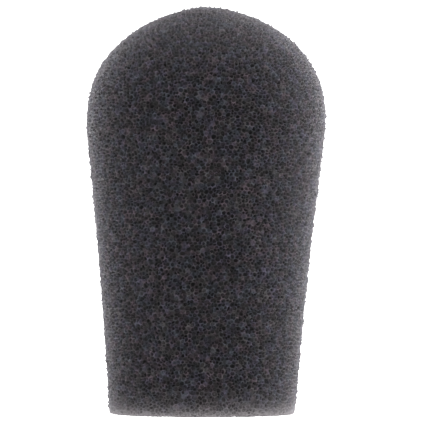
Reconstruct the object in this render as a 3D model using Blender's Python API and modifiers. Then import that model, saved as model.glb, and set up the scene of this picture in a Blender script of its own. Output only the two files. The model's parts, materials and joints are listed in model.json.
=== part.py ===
"""Foam windscreen for a handheld instrument microphone, standing mouth down on its cut base.

A thimble of open-cell foam holds a moulded snap collar in a groove of its bore. The collar carries six snap
fingers on living hinges. They flex outwards while the head of a microphone passes, and then spring back
behind its rear shoulder. Z is the axis of the bore, and z = 0 is the base.
"""

import math

import bmesh
import bpy
from mathutils import Matrix, Vector

MM = 0.001
GAP = 0.3 * MM

# Microphone that the windscreen is made for
HEAD_RADIUS = 16 * MM
HANDLE_RADIUS = 14.2 * MM

# Foam body, outside
HEIGHT = 88.5 * MM
WIDEST_RADIUS = 26 * MM
WIDEST_Z = 62.5 * MM
DOME_RISE_POWER = 2.5
DOME_ROUND_POWER = 1.65
TAPER_SLOPE = 0.1215
TAPER_BLEND = 0.7 * MM
TAPER_EASE_PER_M = 0.44
BASE_EDGE_RADIUS = 0.5 * MM
DOME_STEPS = 14
TAPER_STEPS = 10
FOAM_TURNS = 48

# Foam body, inside: it grips the handle and the head a little undersize
GRIP = 0.2 * MM
MOUTH_RADIUS = HANDLE_RADIUS - GRIP
MOUTH_CHAMFER = 0.8 * MM
CAVITY_RADIUS = HEAD_RADIUS - GRIP
CAVITY_TOP = 76 * MM
CAVITY_CORNER = 3 * MM

# Snap collar: a sleeve with an inner ledge, which carries the fingers
COLLAR_BOTTOM = 26 * MM
COLLAR_TOP = 44 * MM
COLLAR_RADIUS = 19 * MM
SLEEVE_THICK = 0.8 * MM
LEDGE_RADIUS = HEAD_RADIUS + 0.4 * MM
LEDGE_TOP = 32.2 * MM
COLLAR_CHAMFER = 0.3 * MM
COLLAR_TURNS = 60
WINDOW_WIDTH = 7 * MM
WINDOW_BOTTOM = 34.5 * MM
WINDOW_TOP = 41 * MM

# Snap fingers at rest: each leans in from its living hinge on the ledge
FINGERS = 6
FINGER_SWEEP = math.radians(36)
FINGER_STEPS = 6
FINGER_THICK = 1 * MM
HINGE_Z = LEDGE_TOP + GAP
HINGE_RADIUS = LEDGE_RADIUS + 0.1 * MM + FINGER_THICK / 2
LEAD_IN_Z = 37.6 * MM
NOSE_Z = 40.6 * MM
NOSE_RADIUS = HEAD_RADIUS - 1.2 * MM
TIP_Z = 42.3 * MM
TIP_LEAN = 1.2 * MM


def material(name, colour, roughness):
    """A plain Principled material."""
    made = bpy.data.materials.new(name)
    made.use_nodes = True
    shader = made.node_tree.nodes["Principled BSDF"]
    shader.inputs["Base Color"].default_value = (*colour, 1)
    shader.inputs["Roughness"].default_value = roughness
    shader.inputs["Metallic"].default_value = 0
    return made


def collection(name):
    made = bpy.data.collections.new(name)
    bpy.context.scene.collection.children.link(made)
    return made


def add_object(name, mesh, group):
    made = bpy.data.objects.new(name, mesh)
    group.objects.link(made)
    return made


def corner_arc(centre_r, centre_z, radius, start, end, steps=4):
    """Points along an arc of a profile, from one angle in degrees to the other."""
    angles = [math.radians(start + (end - start) * i / steps) for i in range(steps + 1)]
    return [(centre_r + radius * math.cos(a), centre_z + radius * math.sin(a)) for a in angles]


def outer_radius(z):
    """Outside radius of the foam at a height: a rounded dome above the widest ring, an eased cone below."""
    if z >= WIDEST_Z:
        rise = (z - WIDEST_Z) / (HEIGHT - WIDEST_Z)
        return WIDEST_RADIUS * (1 - rise**DOME_RISE_POWER) ** (1 / DOME_ROUND_POWER)
    below = WIDEST_Z - z
    cone = TAPER_SLOPE * (math.hypot(below, TAPER_BLEND) - TAPER_BLEND)
    return WIDEST_RADIUS - cone + TAPER_EASE_PER_M * below**2


def foam_outside():
    """Profile of the outside, from the top of the dome down to the base."""
    profile = [(0, HEIGHT)]
    for i in range(1, DOME_STEPS):
        z = WIDEST_Z + (HEIGHT - WIDEST_Z) * math.cos(math.pi / 2 * i / DOME_STEPS)
        profile.append((outer_radius(z), z))
    for i in range(TAPER_STEPS):
        z = WIDEST_Z + (BASE_EDGE_RADIUS - WIDEST_Z) * i / TAPER_STEPS
        profile.append((outer_radius(z), z))
    edge_centre = outer_radius(BASE_EDGE_RADIUS) - BASE_EDGE_RADIUS
    return profile + corner_arc(edge_centre, BASE_EDGE_RADIUS, BASE_EDGE_RADIUS, 0, -90)


def foam_inside():
    """Profile of the bore, from its mouth up to the middle of its flat end, with the groove for the collar."""
    groove_radius = COLLAR_RADIUS + GAP
    groove_bottom = COLLAR_BOTTOM - GAP
    groove_top = COLLAR_TOP + GAP
    corner_r = CAVITY_RADIUS - CAVITY_CORNER
    corner_z = CAVITY_TOP - CAVITY_CORNER
    return [
        (MOUTH_RADIUS + MOUTH_CHAMFER, 0),
        (MOUTH_RADIUS, MOUTH_CHAMFER),
        (MOUTH_RADIUS, groove_bottom),
        (groove_radius, groove_bottom),
        (groove_radius, groove_top),
        (CAVITY_RADIUS, groove_top),
        *corner_arc(corner_r, corner_z, CAVITY_CORNER, 0, 90),
        (0, CAVITY_TOP),
    ]


def turned(name, profile, closed, turns, group):
    """A profile of (radius, height) points turned about Z. Its outer side runs down, top to bottom."""
    count = len(profile)
    edges = [(i, i + 1) for i in range(count - 1)]
    if closed:
        edges.append((count - 1, 0))
    mesh = bpy.data.meshes.new(name)
    mesh.from_pydata([(r, 0, z) for r, z in profile], edges, [])
    made = add_object(name, mesh, group)
    screw = made.modifiers.new("turn", "SCREW")
    screw.axis = "Z"
    screw.angle = math.tau
    screw.steps = turns
    screw.render_steps = turns
    screw.use_merge_vertices = True
    screw.merge_threshold = 0.00001
    return made


def make_foam_body(group):
    return turned("foam_body", foam_outside() + foam_inside(), False, FOAM_TURNS, group)


def make_window_cutter(group):
    """One box for each window in the sleeve, halfway between two fingers."""
    shape = bmesh.new()
    sleeve_middle = COLLAR_RADIUS - SLEEVE_THICK / 2
    size = Vector((3 * SLEEVE_THICK, WINDOW_WIDTH, WINDOW_TOP - WINDOW_BOTTOM))
    centre = Vector((sleeve_middle, 0, (WINDOW_TOP + WINDOW_BOTTOM) / 2))
    for k in range(FINGERS):
        turn = Matrix.Rotation(math.tau * (k + 0.5) / FINGERS, 4, "Z")
        place = turn @ Matrix.Translation(centre) @ Matrix.Diagonal((*size, 1))
        bmesh.ops.create_cube(shape, size=1, matrix=place)
    mesh = bpy.data.meshes.new("window_cutter")
    shape.to_mesh(mesh)
    shape.free()
    cutter = add_object("window_cutter", mesh, group)
    cutter.hide_render = True
    cutter.display_type = "WIRE"
    return cutter


def make_collar(group, cutter):
    """The sleeve and its ledge in one turned ring, with the windows cut through the sleeve."""
    sleeve_inner = COLLAR_RADIUS - SLEEVE_THICK
    profile = [
        (COLLAR_RADIUS - COLLAR_CHAMFER, COLLAR_TOP),
        (COLLAR_RADIUS, COLLAR_TOP - COLLAR_CHAMFER),
        (COLLAR_RADIUS, COLLAR_BOTTOM + COLLAR_CHAMFER),
        (COLLAR_RADIUS - COLLAR_CHAMFER, COLLAR_BOTTOM),
        (LEDGE_RADIUS + COLLAR_CHAMFER, COLLAR_BOTTOM),
        (LEDGE_RADIUS, COLLAR_BOTTOM + COLLAR_CHAMFER),
        (LEDGE_RADIUS, LEDGE_TOP),
        (sleeve_inner, LEDGE_TOP),
        (sleeve_inner, COLLAR_TOP),
    ]
    collar = turned("snap_collar", profile, True, COLLAR_TURNS, group)
    cut = collar.modifiers.new("windows", "BOOLEAN")
    cut.operation = "DIFFERENCE"
    cut.object = cutter
    return collar


def finger_profile():
    """Outline of a finger from its root to its hooked nose, measured from its hinge as (outwards, up)."""
    half = FINGER_THICK / 2
    nose = NOSE_RADIUS - HINGE_RADIUS
    tip = TIP_Z - HINGE_Z
    return [
        (-half, 0),
        (half, 0),
        (half - TIP_LEAN, tip),
        (-half - TIP_LEAN, tip),
        (nose, NOSE_Z + COLLAR_CHAMFER - HINGE_Z),
        (nose, NOSE_Z - HINGE_Z),
        (-half - TIP_LEAN / 2, LEAD_IN_Z - HINGE_Z),
    ]


def finger_mesh():
    """A finger swept round the bore's axis, with its origin in the middle of its hinge."""
    shape = bmesh.new()
    start = Matrix.Rotation(-FINGER_SWEEP / 2, 4, "Z")
    outline = [shape.verts.new(start @ Vector((HINGE_RADIUS + r, 0, z))) for r, z in finger_profile()]
    face = shape.faces.new(outline)
    bmesh.ops.spin(
        shape,
        geom=[face, *face.edges, *face.verts],
        axis=(0, 0, 1),
        angle=FINGER_SWEEP,
        steps=FINGER_STEPS,
    )
    bmesh.ops.translate(shape, verts=shape.verts, vec=(-HINGE_RADIUS, 0, 0))
    bmesh.ops.recalc_face_normals(shape, faces=shape.faces)
    mesh = bpy.data.meshes.new("snap_finger")
    shape.to_mesh(mesh)
    shape.free()
    return mesh


def make_fingers(group):
    """Six copies of one finger, each with its origin on its own living hinge."""
    mesh = finger_mesh()
    fingers = []
    for k in range(FINGERS):
        angle = math.tau * k / FINGERS
        finger = add_object(f"snap_finger_{k + 1}", mesh, group)
        finger.location = (HINGE_RADIUS * math.cos(angle), HINGE_RADIUS * math.sin(angle), HINGE_Z)
        finger.rotation_euler.z = angle
        fingers.append(finger)
    return fingers


def main():
    for old in list(bpy.data.objects):
        bpy.data.objects.remove(old)
    parts = collection("foam_windscreen")
    cutters = collection("cutters")
    foam = material("charcoal_foam", (0.035, 0.033, 0.038), 1.0)
    plastic = material("black_polypropylene", (0.03, 0.03, 0.032), 0.45)

    make_foam_body(parts).data.materials.append(foam)
    collar = make_collar(parts, make_window_cutter(cutters))
    collar.data.materials.append(plastic)
    make_fingers(parts)[0].data.materials.append(plastic)


main()
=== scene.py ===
"""Looks of a charcoal open-cell foam windscreen that stands mouth down on a pale floor.

The foam's skin is real geometry: a net of struts round open pores, laid over the outside of the CAD solid,
its cut base and its bore. The snap collar and its fingers are the CAD solids with rounded edges and living
hinges. Lengths are in metres, and colours are linear.
"""

import json
import math

import bmesh
import bpy
import numpy as np
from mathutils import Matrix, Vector
from mathutils.geometry import delaunay_2d_cdt


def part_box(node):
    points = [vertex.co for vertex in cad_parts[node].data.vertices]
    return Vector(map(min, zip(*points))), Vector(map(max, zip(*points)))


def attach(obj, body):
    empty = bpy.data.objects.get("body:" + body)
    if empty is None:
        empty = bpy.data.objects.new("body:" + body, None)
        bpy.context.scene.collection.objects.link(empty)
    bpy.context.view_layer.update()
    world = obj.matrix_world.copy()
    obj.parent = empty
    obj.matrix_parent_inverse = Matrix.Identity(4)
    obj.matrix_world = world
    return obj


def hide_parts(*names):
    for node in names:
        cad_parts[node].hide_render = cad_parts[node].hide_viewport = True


MM = 0.001
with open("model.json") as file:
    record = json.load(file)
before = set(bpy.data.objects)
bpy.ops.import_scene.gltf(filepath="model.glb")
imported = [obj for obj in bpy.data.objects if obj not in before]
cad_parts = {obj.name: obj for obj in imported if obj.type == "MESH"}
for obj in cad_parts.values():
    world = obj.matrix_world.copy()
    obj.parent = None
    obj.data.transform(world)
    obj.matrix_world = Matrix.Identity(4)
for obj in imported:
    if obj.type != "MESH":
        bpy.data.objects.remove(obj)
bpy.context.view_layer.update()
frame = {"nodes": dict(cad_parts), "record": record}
SEED = 20
rng = np.random.default_rng(SEED)

# Smallest length and number that count as more than nothing
TOUCH = 0.001 * MM
TINY = 1e-9

# Foam cells: how far apart their middles are, and how far each is shaken out of its row
CELL_OUTSIDE = 0.85 * MM
CELL_INSIDE = 1.2 * MM
JITTER = 0.42
FEWEST_IN_RING = 6
NORMAL_REACH = 0.4 * MM
DISC_OVERLAP = 8 * MM
DISC_STEPS = 10000

# Crests of the struts, above or below the surface of the CAD solid. None rises where the foam looks down
CREST = -0.03 * MM
CREST_NOISE = 0.06 * MM
SUNK_SHARE = 0.3
SUNK_DEPTH = (0.12 * MM, 0.5 * MM)
SPIKE_SHARE = 0.1
SPIKE_HEIGHT = (0.1 * MM, 0.32 * MM)
UNDERCUT = -0.15

# Pores. The widths are shares of the way from a crest to the middle of its pore
STRUT_HALF = (0.09, 0.22)
STRUT_DROP = 0.07 * MM
PORE_FLOOR = (0.25, 0.6)
PORE_DEPTH = (0.5 * MM, 1.0 * MM)
FLOOR_TILT = (0.8, 1.1)
CORE_RISE = (-0.1, 0.75)

# Folds of the surface, such as the edge of the base, where crests and pores are kept shallow
FOLD = math.radians(15)
FOLD_DEPTH = 0.25 * MM
FOLD_SLOPE = 0.45

# Foam as a whole: its lean to one side, painted light in a pale band along its lower edge where the floor
# bounces light up, and how even its fine shading is
LEAN = math.tan(math.radians(0.70))
PAINTED_BOUNCE_FADE = 1.5 * MM
PAINTED_BOUNCE_TURN = 0.2 * MM
SOFTNESS = 0.85
SOFT_DOWNWARD = (-1.6 / 3, -0.2)

# Foam colours. Patches are given as how many there are to the metre, and how soft their edges are
STRUT_DARK = (0.005, 0.0045, 0.0055)
STRUT_PALE = (0.046, 0.042, 0.053)
MOTTLE_PATCHES = (900, 0.14)
MOTTLE = (0.0015, 0.0015, 0.0017)
MOTTLE_SHARE = 0.6
# Painted shade in the pores, mixed in more the deeper a point lies
PAINTED_PORE_SHADE = (0.002, 0.002, 0.0022)
PAINTED_PORE_SHADE_SHARE = 0.7
GREEN_PINK_PATCHES = (560, 0.1)
GREEN_PINK = ((0.92, 1.02, 0.94), (1.09, 0.96, 1.04))
WARM_COOL_PATCHES = (430, 0.1)
WARM_COOL = ((1.10, 1.0, 0.90), (0.91, 1.0, 1.09))
# Painted light: the floor's bounce light, painted as a pale band above the base
PAINTED_BOUNCE = (0.20, 0.187, 0.193)
PAINTED_BOUNCE_SHARE = 0.9
FOAM_ROUGHNESS = (0.6, 0.85)
FOAM_GLOSS = 0.08
SHEEN = 0.18
SHEEN_ROUGHNESS = 0.5
SHEEN_TINT = (0.97, 0.94, 1.0)

# Snap collar
SAME_PLANE = math.radians(1)
MOULD_ROUNDING = 0.15 * MM
MOULD_STEPS = 3
MOULD_CORNER = math.radians(30)
SHARP = math.radians(35)

# Living hinge under each finger: a web that is thinner at its middle, and sunk a little into both parts
WEB_THICK = 0.5 * MM
WEB_THIN = 0.25 * MM
WEB_HEIGHT = 0.3 * MM
WEB_SUNK = 0.12 * MM
WEB_SWEEP = math.radians(32)
WEB_STEPS = 16
WEB_SIDE_POINTS = 5

# Collar's plastic: flow marks in its colour, and a fine grain in its gloss and height
FLOW_PER_METRE = 140
FLOW_COLOURS = ((0.025, 0.025, 0.027), (0.036, 0.036, 0.038))
GRAIN_PER_METRE = 2500
GRAIN_DETAIL = 3.0
GRAIN_ROUGHNESS = (0.34, 0.52)
GRAIN_STRENGTH = 0.15
GRAIN_HEIGHT = 0.02 * MM

# Studio. Each light: name, degrees round from the camera's side, degrees up, watts
WORLD_STRENGTH = 2.1
FLOOR_HALF = 3.0
FLOOR_PER_METRE = 3
FLOOR_GREYS = ((0.58, 0.58, 0.58), (0.60, 0.60, 0.60))
FLOOR_ROUGHNESS = 0.9
FLOOR_GLOW = 1.3
LIGHT_DISTANCE = 0.55
LIGHT_SIZE = (0.3, 0.4)
LIGHTS = (
    ("back_left", -138, 3, 4.9),
    ("back_right", 138, 3, 6.0),
    ("back_top", 180, 50, 0.1),
    ("side_right", 95, 10, 3.2),
    ("top", 0, 86, 1.9),
)

# Camera
CAMERA_DISTANCE = 1.5
CAMERA_DOWN = math.radians(2.3)
CAMERA_ROLL = math.radians(0.09)
CAMERA_OFFSET = (2.1 * MM, 0, -0.35 * MM)
SENSOR_WIDTH = 36
VIEW_WIDTH = 92.1 * MM


def add_object(name, data):
    made = bpy.data.objects.new(name, data)
    bpy.context.scene.collection.objects.link(made)
    return made


def between(low_high, count):
    return rng.uniform(*low_high, count)


def column(values):
    return values[:, None]


def unit(vectors):
    return vectors / column(np.linalg.norm(vectors, axis=1))


def cad_profile():
    """The foam solid's (radius, height) outline, from the top of its dome round the base and up its bore."""
    mesh = frame["nodes"]["foam_body"].data
    key = [(round(v.co.x / MM, 3), round(v.co.z / MM, 3)) for v in mesh.vertices]
    flat = [abs(v.co.y) < TOUCH and v.co.x > -TOUCH for v in mesh.vertices]
    linked = {}
    for a, b in (e.vertices for e in mesh.edges):
        if flat[a] and flat[b] and key[a] != key[b]:
            linked.setdefault(key[a], set()).add(key[b])
            linked.setdefault(key[b], set()).add(key[a])
    walk = [max(linked, key=lambda p: p[1])]
    while True:
        onward = [p for p in linked[walk[-1]] if p not in walk]
        if not onward:
            return np.array(walk) * MM
        walk.append(onward[0])


class Skin:
    """The foam's surface as a turned curve, read by the length s along its outline and the angle round it.

    The outside ends where s is base, and the bore begins where s is mouth. Between them is the cut base."""

    def __init__(self, outline):
        steps = np.hypot(*np.diff(outline, axis=0).T)
        self.knots = np.concatenate([[0], np.cumsum(steps)])
        self.outline = outline
        self.length = self.knots[-1]
        self.base, self.mouth = self.knots[outline[:, 1] < TOUCH][[0, -1]]
        heading = np.unwrap(np.arctan2(*np.diff(outline, axis=0).T))
        self.folds = self.knots[1:-1][abs(np.diff(heading)) > FOLD]

    def at(self, s):
        """Radius and height."""
        return np.interp(s, self.knots, self.outline[:, 0]), np.interp(s, self.knots, self.outline[:, 1])

    def room(self, s):
        """How far it is along the outline to the nearest fold."""
        return abs(column(s) - self.folds).min(1)

    def cell_size(self, s):
        return CELL_OUTSIDE if s < self.mouth else CELL_INSIDE

    def points(self, s, angle):
        r, z = self.at(s)
        return np.stack([r * np.cos(angle), r * np.sin(angle), z], -1)

    def normals(self, s, angle):
        """Directions out of the foam, smoothed over its corners."""
        r0, z0 = self.at(s - NORMAL_REACH)
        r1, z1 = self.at(s + NORMAL_REACH)
        across, up = z0 - z1, r1 - r0
        size = np.maximum(np.hypot(across, up), TINY)
        across, up = across / size, up / size
        return np.stack([across * np.cos(angle), across * np.sin(angle), up], -1)


def scatter(skin):
    """Cell middles as (s, angle): staggered rings of even spacing, shaken about, but still at the poles."""
    rows = [0.0]
    while rows[-1] < skin.length:
        rows.append(rows[-1] + skin.cell_size(rows[-1]) * math.sqrt(3) / 2)
    rows = np.array(rows) * skin.length / rows[-1]
    middles = [(rows[:1], np.zeros(1)), (rows[-1:], np.zeros(1))]
    for s in rows[1:-1]:
        size = skin.cell_size(s)
        radius = float(skin.at(s)[0])
        count = max(FEWEST_IN_RING, round(math.tau * radius / size))
        shake = rng.uniform(-JITTER, JITTER, (2, count)) * min(size, radius / 2)
        turn = (np.arange(count) + rng.random()) * math.tau / count
        middles.append((s + shake[0], turn + shake[1] / radius))
    return np.concatenate([m[0] for m in middles]), np.concatenate([m[1] for m in middles])


def disc_triangles(skin, s, angle, pole):
    """Delaunay triangles of the cell middles in the skin's half round one pole, unrolled onto a flat disc.

    All the small angles on a turned surface are kept when the log of the disc's radius grows by ds / r. So
    triangles that are good ones on the disc are good ones on the surface too."""
    reach = skin.length / 2 + DISC_OVERLAP
    near = np.flatnonzero(abs(s - pole) < reach)
    away = np.linspace(0, reach, DISC_STEPS + 1)
    r = np.maximum(skin.at(abs(pole - away))[0], away[1])
    growth = np.concatenate([[0], np.cumsum(2 * np.diff(away) / (r[1:] + r[:-1]))])
    disc = np.exp(np.interp(abs(s[near] - pole), away, growth))
    disc[s[near] == pole] = 0
    flat = np.stack([disc * np.cos(angle[near]), disc * np.sin(angle[near])], -1)
    _, _, faces, origin, _, _ = delaunay_2d_cdt([Vector(p) for p in flat], [], [], 0, TINY)
    tris = np.array([o[0] for o in origin])[np.array(faces)]
    ab, ac = flat[tris[:, 1]] - flat[tris[:, 0]], flat[tris[:, 2]] - flat[tris[:, 0]]
    backward = (ab[:, 0] * ac[:, 1] < ab[:, 1] * ac[:, 0]) != (pole > 0)
    tris[backward] = tris[backward][:, ::-1]
    tris = near[tris]
    return tris[(s[tris].min(1) >= skin.length / 2) == (pole > 0)]


def pore_rings(tris, cells):
    """For each cell, the triangles round its middle in order, counterclockwise seen from outside the foam."""
    owner = {}
    first = [0] * cells
    corners = tris.tolist()
    for t, (a, b, c) in enumerate(corners):
        owner[a, b] = owner[b, c] = owner[c, a] = t
        first[a] = first[b] = first[c] = t
    rings = []
    for cell in range(cells):
        ring = [first[cell]]
        while True:
            tri = corners[ring[-1]]
            onward = owner[cell, tri[tri.index(cell) - 1]]
            if onward == ring[0]:
                break
            ring.append(onward)
        rings.append(ring)
    return rings


def strut_heights(outside, out, room):
    """How far each corner of the net stands above the surface: some are cut free, and some sunk below it."""
    count = len(outside)
    height = CREST + rng.normal(0, CREST_NOISE, count).clip(-2 * CREST_NOISE, 2 * CREST_NOISE)
    kind = rng.random(count)
    height = np.where(kind < SUNK_SHARE, height - between(SUNK_DEPTH, count), height)
    height = np.where(outside & (kind > 1 - SPIKE_SHARE), height + between(SPIKE_HEIGHT, count), height)
    height = np.where(outside & (out[:, 2] >= UNDERCUT), height, np.minimum(height, 0))
    return np.maximum(height, -FOLD_SLOPE * room)


class Net:
    """The net of struts. A corner of it is the middle of a triangle of cell middles, and each cell is a pore.

    From the top down, a pore has the corners round it, the inner edges of its struts, the rim of its floor,
    and its core, the middle of the floor. A row stands for one corner of one pore: cell is its pore, here its
    corner, and step the row of the next corner round the same pore."""

    def __init__(self, skin):
        self.skin = skin
        self.s, angle = scatter(skin)
        poles = (0, skin.length)
        self.tris = np.concatenate([disc_triangles(skin, self.s, angle, pole) for pole in poles])
        rings = pore_rings(self.tris, len(self.s))
        self.centre, self.out = skin.points(self.s, angle), skin.normals(self.s, angle)
        self.sides = np.array([len(r) for r in rings])
        self.start = np.cumsum(self.sides) - self.sides
        self.cell = np.repeat(np.arange(len(self.s)), self.sides)
        self.here = np.concatenate(rings)
        self.step = np.arange(len(self.here)) + 1
        self.step[self.start + self.sides - 1] = self.start
        self.raise_corners()
        self.sink_pores()

    def raise_corners(self):
        """Puts each corner above or below the surface, but not through the floor."""
        self.corner_s = self.s[self.tris].mean(1)
        self.corner_out = unit(self.out[self.tris].mean(1))
        outside = self.corner_s < self.skin.base
        self.height = strut_heights(outside, self.corner_out, self.skin.room(self.corner_s))
        self.corner = self.centre[self.tris].mean(1) + self.corner_out * column(self.height)
        self.corner[:, 2] = np.maximum(self.corner[:, 2], 0)

    def sink_pores(self):
        """Makes the edges, the floors and the cores of the pores, with their depths below the surface."""
        rows, cells = len(self.here), len(self.s)
        corner, down = self.corner[self.here], -self.out[self.cell]
        inward = self.centre[self.cell] - corner
        inward -= down * column((inward * down).sum(1))
        self.width = between(STRUT_HALF, rows)
        self.edge = corner + inward * column(self.width) + down * STRUT_DROP
        depth = np.minimum(between(PORE_DEPTH, cells), FOLD_DEPTH + FOLD_SLOPE * self.skin.room(self.s))
        self.taper = between(PORE_FLOOR, cells)[self.cell]
        self.level = self.height[self.here] + depth[self.cell] * between(FLOOR_TILT, rows)
        self.floor = corner + inward * column(self.taper) + down * column(self.level)
        self.core_depth = depth * (1 - between(CORE_RISE, cells))
        middle = np.add.reduceat(corner, self.start, axis=0) / column(self.sides)
        middle += self.out * column(((self.centre - middle) * self.out).sum(1))
        self.core = middle - self.out * column(self.core_depth)

    def each(self, corner, edge, floor, core):
        """One array over all the points, in the order of the mesh's vertices."""
        return np.concatenate([corner, edge, floor, core])

    def owner_s(self):
        """For each point, the s of the corner or the cell that it belongs to."""
        by_row = self.s[self.cell]
        return self.each(self.corner_s, by_row, by_row, self.s)

    def own_s(self):
        """For each point, its own s."""
        start, towards = self.corner_s[self.here], self.s[self.cell] - self.corner_s[self.here]
        return self.each(self.corner_s, start + towards * self.width, start + towards * self.taper, self.s)

    def faces(self):
        """Quads from the corners down to the floors, and the floors' fans of triangles."""
        here, step, rows = self.here, self.step, len(self.here)
        edge = len(self.tris) + np.arange(rows)
        floor = edge + rows
        core = len(self.tris) + 2 * rows + self.cell
        quads = np.concatenate([
            np.stack([here, here[step], edge[step], edge], 1),
            np.stack([edge, edge[step], floor[step], floor], 1)])
        return quads, np.stack([floor, floor[step], core], 1)


def lay_flat(mesh, length, points, s, faces):
    """UVs for baking: the angle round the bore across, and the length along the outline up."""
    turn = np.arctan2(points[:, 1], points[:, 0]) / math.tau + 0.5
    centred = np.hypot(points[:, 0], points[:, 1]) < TOUCH
    rows = []
    for face in faces:
        across = turn[face]
        across -= np.round(across - across[:, :1])
        across = np.where(centred[face], across[:, :1], across).clip(0, 1)
        rows.append(np.stack([across, s[face] / length], -1).reshape(-1, 2))
    layer = mesh.uv_layers.new(name="OFBake")
    layer.data.foreach_set("uv", np.concatenate(rows).astype(np.float32).ravel())


def soften_normals(mesh, out):
    """Turns the shading normals towards the foam's overall surface, as a fine net scatters light evenly.

    What looks well down keeps its own normals, so that none of them faces away from an eye below."""
    normals = np.empty(len(mesh.vertices) * 3, np.float32)
    mesh.vertex_normals.foreach_get("vector", normals)
    soft = SOFTNESS * column(np.interp(out[:, 2], SOFT_DOWNWARD, (0, 1)))
    mesh.normals_split_custom_set_from_vertices(unit(normals.reshape(-1, 3) * (1 - soft) + out * soft))


def foam_skin(skin):
    """The foam's skin, with its depth, tone and painted floor bounce light for the material. Only its outside
    leans.
    """
    net = Net(skin)
    points, owner_s = net.each(net.corner, net.edge, net.floor, net.core), net.owner_s()
    leaning = points.copy()
    leaning[:, 0] += LEAN * points[:, 2] * (owner_s < skin.base)
    quads, fans = net.faces()
    mesh = bpy.data.meshes.new("foam_body_skin")
    mesh.from_pydata(leaning, [], quads.tolist() + fans.tolist())
    mesh.shade_smooth()
    lay_flat(mesh, skin.length, points, net.own_s(), (quads, fans))

    # How deep each point lies, which the material turns into painted shade in the pores
    depth = net.each(-net.height, STRUT_DROP - net.height[net.here], net.level, net.core_depth)
    tone = rng.random(len(net.s))
    tones = net.each(tone[net.tris].mean(1), tone[net.cell], tone[net.cell], tone)
    # Painted light bounced up from the floor: strongest at the base, fading upward, and reaching a little
    # round onto the cut base
    painted_bounce = np.exp(-points[:, 2] / PAINTED_BOUNCE_FADE) * (owner_s < skin.base + PAINTED_BOUNCE_TURN)
    for name, values in (("depth", depth / PORE_DEPTH[1]), ("tone", tones), ("painted_bounce", painted_bounce)):
        mesh.attributes.new(name, "FLOAT", "POINT").data.foreach_set("value", values.astype(np.float32))
    soften_normals(mesh, net.each(net.corner_out, net.out[net.cell], net.out[net.cell], net.out))
    return add_object("foam_body_skin", mesh)


def add_web(shape, hinge):
    """The living hinge under a finger: a strip swept round the bore's axis, thinnest at its middle."""
    radius = hinge.xy.length
    middle, outline = hinge.z - WEB_HEIGHT / 2, []
    for side in (-1, 1):
        for step in np.linspace(-side, side, WEB_SIDE_POINTS):
            thick = WEB_THIN + (WEB_THICK - WEB_THIN) * step**2
            outline.append((radius + side * thick / 2, middle + step * (WEB_HEIGHT / 2 + WEB_SUNK)))
    start = math.atan2(hinge.y, hinge.x) - WEB_SWEEP / 2
    rings = []
    for turn in start + np.linspace(0, WEB_SWEEP, WEB_STEPS + 1):
        rings.append([shape.verts.new((r * math.cos(turn), r * math.sin(turn), z)) for r, z in outline])
    for ring, onward in zip(rings, rings[1:]):
        for i in range(len(outline)):
            shape.faces.new((ring[i - 1], ring[i], onward[i], onward[i - 1]))
    shape.faces.new(rings[0])
    shape.faces.new(rings[-1])


def rounded(name):
    """A CAD part's solid, with its edges rounded off as a mould leaves them."""
    shape = bmesh.new()
    shape.from_mesh(frame["nodes"][name].data)
    bmesh.ops.remove_doubles(shape, verts=shape.verts, dist=TOUCH)
    bmesh.ops.dissolve_limit(shape, angle_limit=SAME_PLANE, verts=shape.verts, edges=shape.edges)
    mesh = bpy.data.meshes.new(name)
    shape.to_mesh(mesh)
    shape.clear()
    rough = add_object(name + "_rough", mesh)
    bevel = rough.modifiers.new("rounding", "BEVEL")
    bevel.width = MOULD_ROUNDING
    bevel.segments = MOULD_STEPS
    bevel.limit_method = "ANGLE"
    bevel.angle_limit = MOULD_CORNER
    shape.from_mesh(rough.evaluated_get(bpy.context.evaluated_depsgraph_get()).to_mesh())
    bpy.data.objects.remove(rough)
    bpy.data.meshes.remove(mesh)
    return shape


def moulding(name, body, material, hinge=None):
    """A piece of the collar, which replaces its CAD solid. A finger has a hinge, and gets its web."""
    shape = rounded(name)
    if hinge:
        add_web(shape, Vector(hinge))
    bmesh.ops.recalc_face_normals(shape, faces=shape.faces)
    mesh = bpy.data.meshes.new(name + "_moulding")
    shape.to_mesh(mesh)
    shape.free()
    mesh.shade_smooth()
    mesh.set_sharp_from_angle(angle=SHARP)
    made = add_object(mesh.name, mesh)
    made.data.materials.append(material)
    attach(made, body)
    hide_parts(name)


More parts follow.
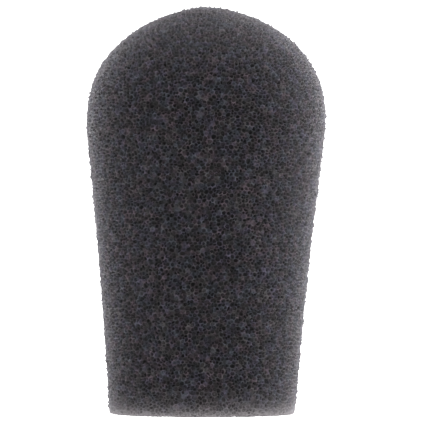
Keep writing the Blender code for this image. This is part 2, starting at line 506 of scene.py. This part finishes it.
class Nodes:
    """Short-hand for building a material's node tree."""

    def __init__(self, name):
        self.material = bpy.data.materials.new(name)
        self.material.use_nodes = True
        self.tree = self.material.node_tree
        self.shader = self.tree.nodes["Principled BSDF"]

    def put(self, socket, value):
        """Links a socket to another, or sets its value. A colour is given as three numbers."""
        if isinstance(value, bpy.types.NodeSocket):
            self.tree.links.new(value, socket)
        else:
            socket.default_value = (*value, 1) if socket.type == "RGBA" else value

    def fill(self, node, inputs):
        for key, value in inputs.items():
            self.put(node.inputs[key.replace("_", " ")], value)

    def add(self, kind, settings=(), **inputs):
        node = self.tree.nodes.new("ShaderNode" + kind)
        for key, value in dict(settings).items():
            setattr(node, key, value)
        self.fill(node, inputs)
        return node

    def shade(self, **inputs):
        """Sets inputs of the Principled shader."""
        self.fill(self.shader, inputs)

    def attribute(self, name):
        return self.add("Attribute", {"attribute_name": name}).outputs["Fac"]

    def noise(self, per_metre, detail=2.0):
        place = self.add("TexCoord").outputs["Object"]
        return self.add("TexNoise", Vector=place, Scale=per_metre, Detail=detail).outputs["Fac"]

    def range(self, value, low, high, from_low=0.0, from_high=1.0):
        ends = {"From_Min": from_low, "From_Max": from_high, "To_Min": low, "To_Max": high}
        return self.add("MapRange", Value=value, **ends).outputs["Result"]

    def patches(self, per_metre, spread):
        """Noise in soft patches, from 0 to 1. A smaller spread gives them harder edges."""
        return self.range(self.noise(per_metre, 1.0), 0.0, 1.0, 0.5 - spread, 0.5 + spread)

    def mix(self, factor, a, b, how="MIX"):
        """Mixes two colours. The node's sockets go by number here, because their names repeat."""
        node = self.add("Mix", {"data_type": "RGBA", "blend_type": how})
        self.put(node.inputs[0], factor)
        self.put(node.inputs[6], a)
        self.put(node.inputs[7], b)
        return node.outputs[2]


def foam_material():
    """Struts of uneven tone and hue, pores darkened with painted shade, a pale band of painted floor bounce
    light above the base and a faint bloom at the edges.
    """
    n = Nodes("charcoal_foam")
    tone = n.attribute("tone")
    strut = n.mix(tone, STRUT_DARK, STRUT_PALE)
    mottled = n.mix(n.patches(*MOTTLE_PATCHES), n.mix(MOTTLE_SHARE, strut, MOTTLE), strut)
    # Painted shade: the deeper a point lies in its pore, the darker its colour
    colour = n.mix(n.range(n.attribute("depth"), 0.0, PAINTED_PORE_SHADE_SHARE), mottled, PAINTED_PORE_SHADE)
    colour = n.mix(1.0, colour, n.mix(n.patches(*GREEN_PINK_PATCHES), *GREEN_PINK), "MULTIPLY")
    colour = n.mix(1.0, colour, n.mix(n.patches(*WARM_COOL_PATCHES), *WARM_COOL), "MULTIPLY")
    # Painted light: the floor's bounce light paints a pale band above the base
    colour = n.mix(n.range(n.attribute("painted_bounce"), 0.0, PAINTED_BOUNCE_SHARE), colour, PAINTED_BOUNCE)
    n.shade(Base_Color=colour, Roughness=n.range(tone, *FOAM_ROUGHNESS), Specular_IOR_Level=FOAM_GLOSS)
    n.shade(Sheen_Weight=SHEEN, Sheen_Roughness=SHEEN_ROUGHNESS, Sheen_Tint=SHEEN_TINT)
    return n.material


def plastic_material():
    """Black moulded plastic with a fine grain and faint flow marks."""
    n = Nodes("black_polypropylene")
    grain = n.noise(GRAIN_PER_METRE, GRAIN_DETAIL)
    bump = n.add("Bump", Strength=GRAIN_STRENGTH, Distance=GRAIN_HEIGHT, Height=grain)
    n.shade(Base_Color=n.mix(n.noise(FLOW_PER_METRE), *FLOW_COLOURS))
    n.shade(Roughness=n.range(grain, *GRAIN_ROUGHNESS), Normal=bump.outputs["Normal"])
    return n.material


def floor_material():
    """Pale and matt from above, and clear from below, so that the base can be seen."""
    n = Nodes("pale_floor")
    n.shade(Base_Color=n.mix(n.noise(FLOOR_PER_METRE), *FLOOR_GREYS), Roughness=FLOOR_ROUGHNESS)
    n.shade(Emission_Color=(1, 1, 1), Emission_Strength=FLOOR_GLOW)
    seen = n.add("MixShader", Fac=n.add("NewGeometry").outputs["Backfacing"])
    n.put(seen.inputs[1], n.shader.outputs[0])
    n.put(seen.inputs[2], n.add("BsdfTransparent").outputs[0])
    n.put(n.tree.nodes["Material Output"].inputs["Surface"], seen.outputs[0])
    return n.material


def add_floor():
    corners = [(x * FLOOR_HALF, y * FLOOR_HALF, 0) for x, y in ((-1, -1), (1, -1), (1, 1), (-1, 1))]
    mesh = bpy.data.meshes.new("floor")
    mesh.from_pydata(corners, [], [(0, 1, 2, 3)])
    floor = add_object("floor", mesh)
    floor.data.materials.append(floor_material())


def area_light(name, way, target, power):
    data = bpy.data.lights.new(name, "AREA")
    data.shape = "RECTANGLE"
    data.size, data.size_y = LIGHT_SIZE
    data.energy = power
    light = add_object(name, data)
    light.location = target + LIGHT_DISTANCE * way
    light.rotation_euler = (-way).to_track_quat("-Z", "Y").to_euler()


def studio(middle):
    """A white world, a pale floor, and lights behind, beside and above."""
    world = bpy.data.worlds.new("studio")
    world.use_nodes = True
    world.node_tree.nodes["Background"].inputs["Color"].default_value = (1, 1, 1, 1)
    world.node_tree.nodes["Background"].inputs["Strength"].default_value = WORLD_STRENGTH
    bpy.context.scene.world = world
    bpy.context.scene.view_settings.view_transform = "Standard"
    add_floor()
    for name, turn, rise, power in LIGHTS:
        turn, rise = math.radians(turn), math.radians(rise)
        way = Vector((math.sin(turn) * math.cos(rise), -math.cos(turn) * math.cos(rise), math.sin(rise)))
        area_light(name, way, middle, power)


def camera(middle):
    """A long lens that looks down a little on the object, which stands a little off the picture's middle."""
    rise = CAMERA_DISTANCE * math.tan(CAMERA_DOWN) - middle.z
    data = bpy.data.cameras.new("camera")
    data.sensor_width = SENSOR_WIDTH
    data.lens = SENSOR_WIDTH * CAMERA_DISTANCE / VIEW_WIDTH
    made = add_object("camera", data)
    place = middle + Vector((0, -CAMERA_DISTANCE, rise))
    made.rotation_euler = (middle - place).to_track_quat("-Z", "Y").to_euler()
    made.rotation_euler.rotate_axis("Z", CAMERA_ROLL)
    made.location = place + Vector(CAMERA_OFFSET)
    bpy.context.scene.camera = made


foam = foam_skin(Skin(cad_profile()))
foam.data.materials.append(foam_material())
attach(foam, "windscreen")
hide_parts("foam_body")

plastic = plastic_material()
moulding("snap_collar", "windscreen", plastic)
for joint in frame["record"]["behaviour"]["joints"]:
    moulding("snap_" + joint["child"], joint["child"], plastic, joint["pos_m"])

low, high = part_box("foam_body")
middle = Vector((0, 0, (low.z + high.z) / 2))
studio(middle)
camera(middle)
